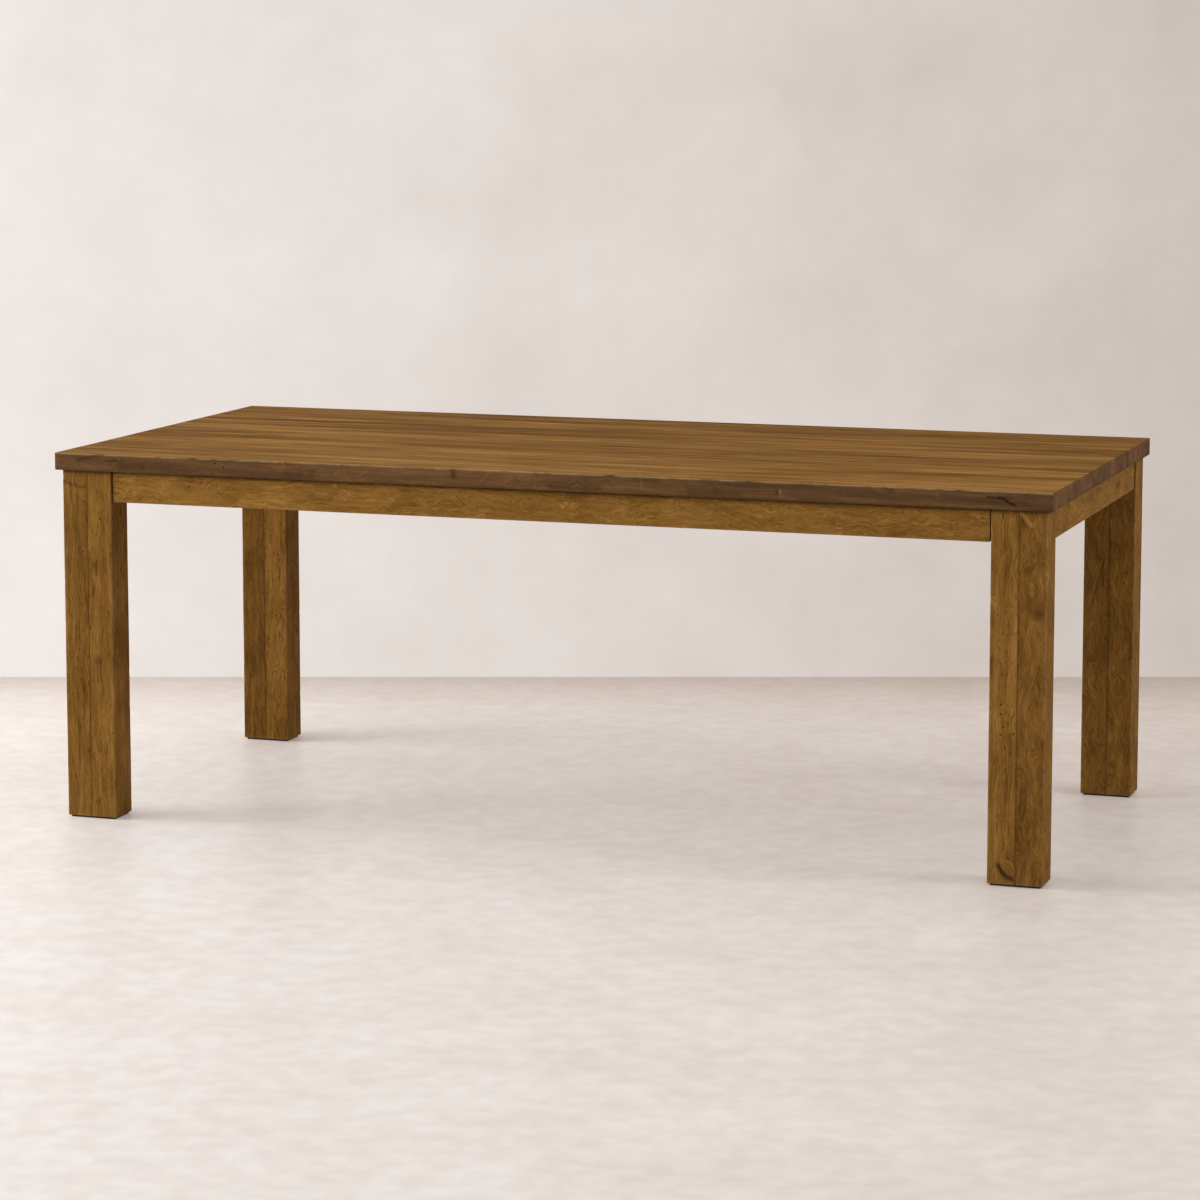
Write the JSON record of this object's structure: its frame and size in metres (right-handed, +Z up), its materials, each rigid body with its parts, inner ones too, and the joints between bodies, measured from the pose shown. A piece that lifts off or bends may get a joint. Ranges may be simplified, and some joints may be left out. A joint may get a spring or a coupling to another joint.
{
  "type": "parsons dining table",
  "caption": "Rectangular solid-wood dining table: an edge-glued top on block legs set at the corners, with slim aprons between the legs.",
  "frame": {"origin": "on the floor, under the middle of the top", "axes": "+X along the length of the top, +Y to the rear, +Z up"},
  "size_m": [2.1, 1, 0.77],
  "materials": {
    "top_wood": "stained hardwood boards under a satin lacquer",
    "leg_wood": "stained hardwood staves under a satin lacquer",
    "apron_wood": "stained hardwood under a satin lacquer",
    "inner_wood": "planed hardwood, unfinished",
    "dowel_wood": "fluted beech, unfinished",
    "zinc_steel": "zinc-plated steel",
    "pad_rubber": "moulded black rubber"
  },
  "bodies": {
    "root": {"top_board_1": "top_wood", "top_board_2": "top_wood", "top_board_3": "top_wood", "top_board_4": "top_wood", "top_board_5": "top_wood", "top_board_6": "top_wood", "top_board_7": "top_wood", "top_board_8": "top_wood", "top_dowels": "dowel_wood", "leg_front_left_outer_stave": "leg_wood", "leg_front_left_inner_stave": "leg_wood", "leg_front_right_outer_stave": "leg_wood", "leg_front_right_inner_stave": "leg_wood", "leg_rear_right_outer_stave": "leg_wood", "leg_rear_right_inner_stave": "leg_wood", "leg_rear_left_outer_stave": "leg_wood", "leg_rear_left_inner_stave": "leg_wood", "foot_pad_front_left": "pad_rubber", "foot_pad_front_right": "pad_rubber", "foot_pad_rear_right": "pad_rubber", "foot_pad_rear_left": "pad_rubber", "front_apron": "apron_wood", "rear_apron": "apron_wood", "left_apron": "apron_wood", "right_apron": "apron_wood", "corner_brace_front_left": "inner_wood", "corner_brace_front_right": "inner_wood", "corner_brace_rear_right": "inner_wood", "corner_brace_rear_left": "inner_wood", "cross_rail_left": "inner_wood", "cross_rail_right": "inner_wood", "rail_dowels": "dowel_wood", "hanger_bolts": "zinc_steel", "hanger_washers": "zinc_steel", "hanger_nuts": "zinc_steel", "brace_screws": "zinc_steel", "top_clips": "zinc_steel", "clip_screws": "zinc_steel", "rail_screws": "zinc_steel"}
  },
  "joints": []
}
